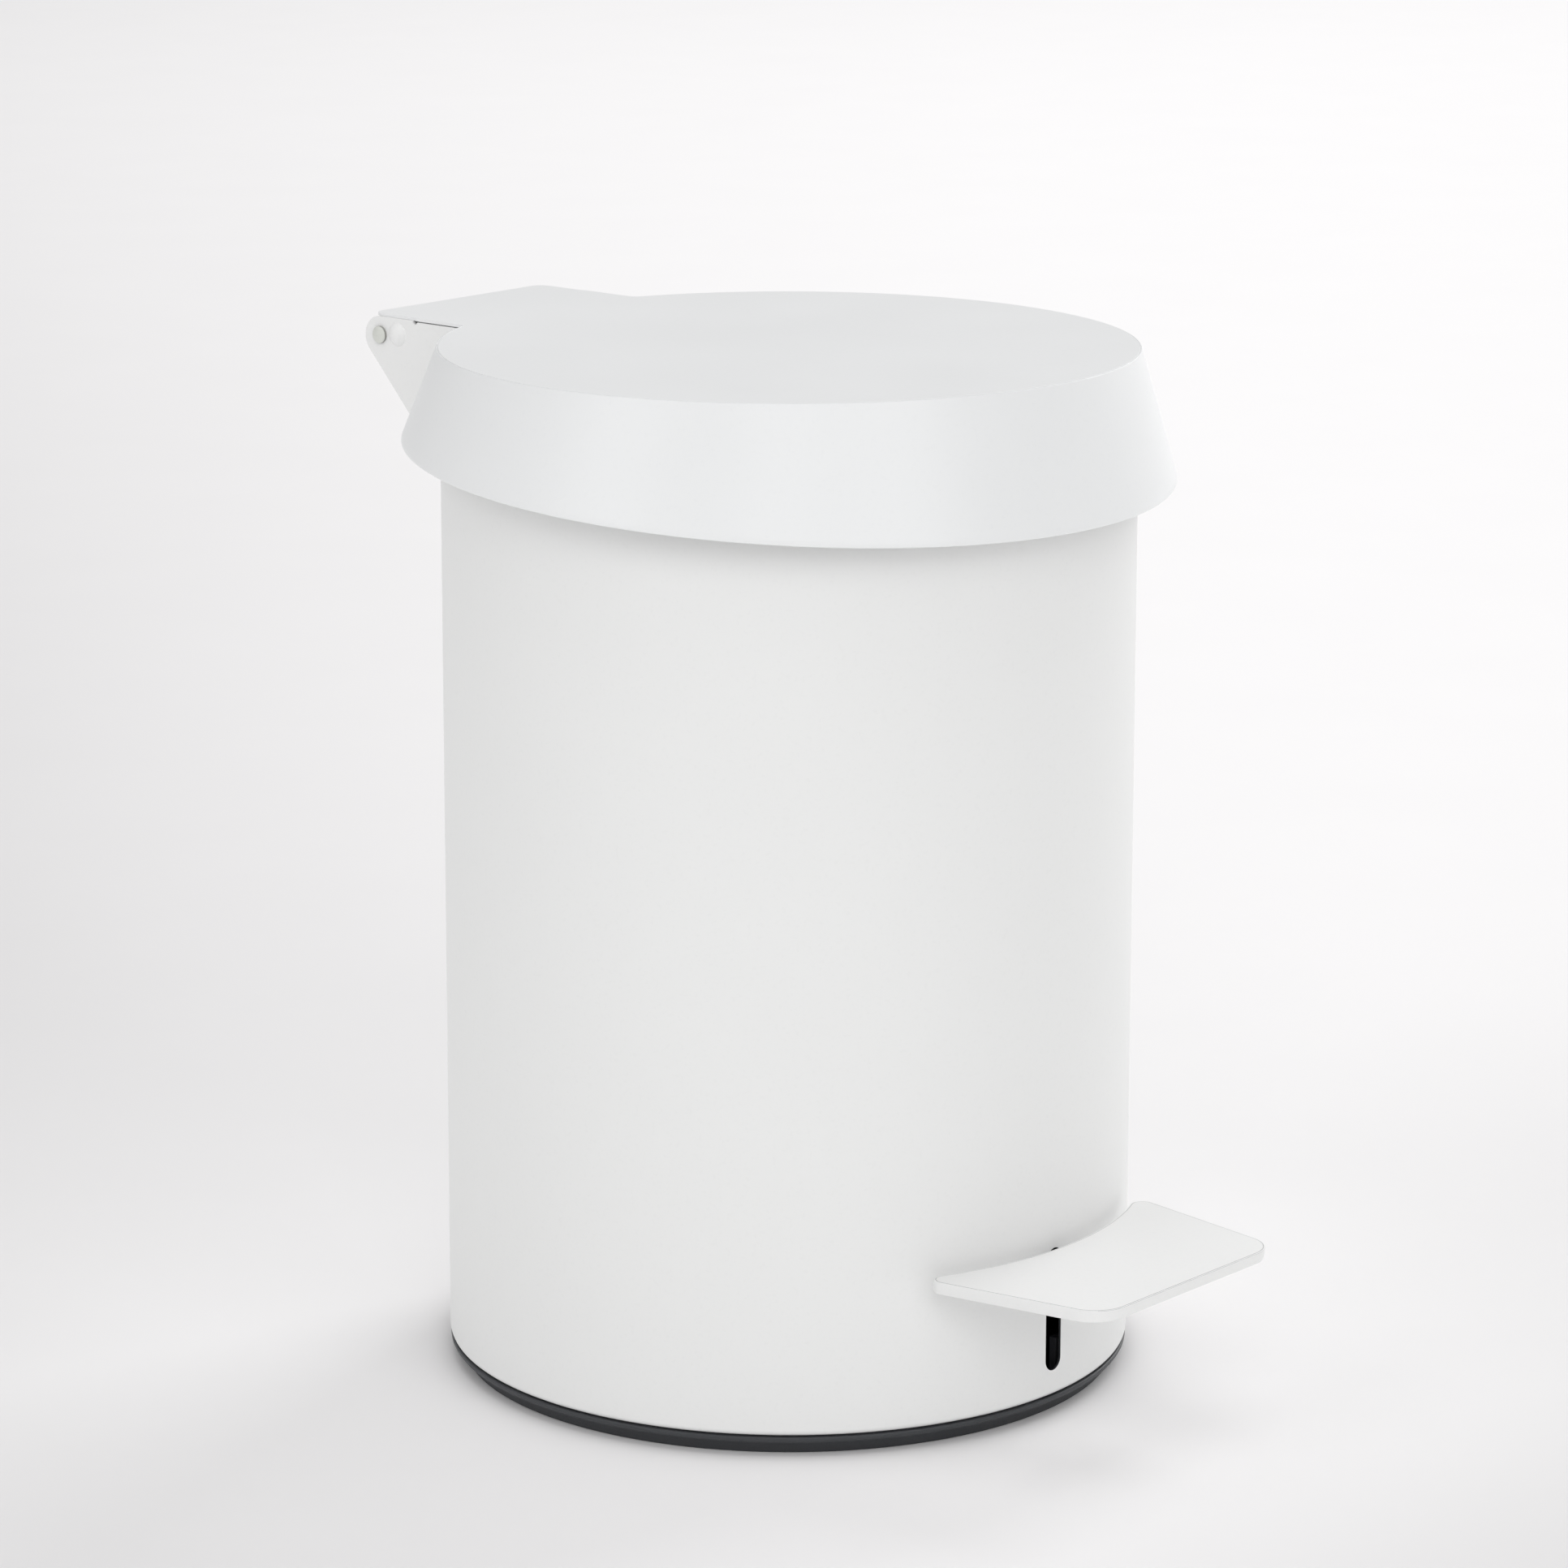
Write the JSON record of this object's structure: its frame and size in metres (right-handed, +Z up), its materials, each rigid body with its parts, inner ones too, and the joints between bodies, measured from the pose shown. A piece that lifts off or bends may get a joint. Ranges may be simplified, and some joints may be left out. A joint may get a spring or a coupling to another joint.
{
  "type": "pedal bin",
  "caption": "Round steel pedal bin with a flared hinged lid, a foot pedal worked through a lever and push rod, and a lift-out bucket with a wire bail.",
  "frame": {"origin": "centre of the base's underside, on the floor", "axes": "+X to the right seen from the pedal side, +Y from the pedal towards the lid's hinge, +Z up"},
  "size_m": [0.2286, 0.2906, 0.3064],
  "materials": {
    "white_coat": "satin powder coat",
    "base_plastic": "matte",
    "bucket_plastic": "fine grained",
    "liner_plastic": "matte",
    "grip_plastic": "matte",
    "bush_plastic": "natural",
    "zinc_steel": "zinc plated",
    "stainless": "turned",
    "spring_steel": "blackened",
    "wire_steel": "drawn and plated",
    "rubber": "matte"
  },
  "bodies": {
    "bin_body": {"body_shell": "white_coat", "base": "base_plastic", "pivot_bracket": "zinc_steel", "pivot_screws": "zinc_steel", "pivot_pin": "stainless", "pivot_clips": "spring_steel", "pedal_stop_bumper": "rubber", "lever_rest_pad": "rubber", "rod_guide_lower": "zinc_steel", "rod_guide_upper": "zinc_steel", "bracket_cheek_left": "white_coat", "bracket_cheek_right": "white_coat", "bracket_web": "white_coat", "bracket_rivets": "white_coat", "hinge_pin": "stainless", "hinge_screw": "stainless", "stop_bar": "white_coat"},
    "lid": {"lid_shell": "white_coat", "lid_liner": "liner_plastic", "lid_yoke": "zinc_steel", "hinge_bushes": "bush_plastic", "lid_crank": "zinc_steel", "crank_pin": "stainless", "crank_pin_clips": "spring_steel", "lid_buttons": "rubber"},
    "pedal": {"pedal_tread": "white_coat", "pedal_lever": "zinc_steel", "lever_bush": "bush_plastic", "link_pin": "stainless", "link_pin_clips": "spring_steel"},
    "push_rod": {"push_rod": "zinc_steel", "rod_head": "zinc_steel", "rod_foot": "zinc_steel"},
    "bucket": {"bucket": "bucket_plastic"},
    "bail": {"bail_wire": "wire_steel", "bail_grip": "grip_plastic"}
  },
  "joints": [
    {"name": "lid_hinge", "type": "hinge", "parent": "bin_body", "child": "lid", "pos_m": [0, 0.1319, 0.2993], "axis": [-1, 0, 0], "range_deg": [0, 80]},
    {"name": "pedal_pivot", "type": "hinge", "parent": "bin_body", "child": "pedal", "pos_m": [0, -0.017, 0.02985], "axis": [1, 0, 0], "range_deg": [0, 15.81]},
    {"name": "push_rod_slide", "type": "slide", "parent": "bin_body", "child": "push_rod", "axis": [0, 0, 1], "range_m": [0, 0.03086]},
    {"name": "bucket_lift", "type": "slide", "parent": "bin_body", "child": "bucket", "axis": [0, 0, 1], "range_m": [0, 0.012]},
    {"name": "bail_swing", "type": "hinge", "parent": "bucket", "child": "bail", "pos_m": [0, 0, 0.262], "axis": [-1, 0, 0], "range_deg": [0, 12]}
  ],
  "couplings": [
    {"joint": "pedal_pivot", "follows": "lid_hinge", "ratio": 0.19761},
    {"joint": "push_rod_slide", "follows": "lid_hinge", "m_per_rad": 0.022097}
  ]
}
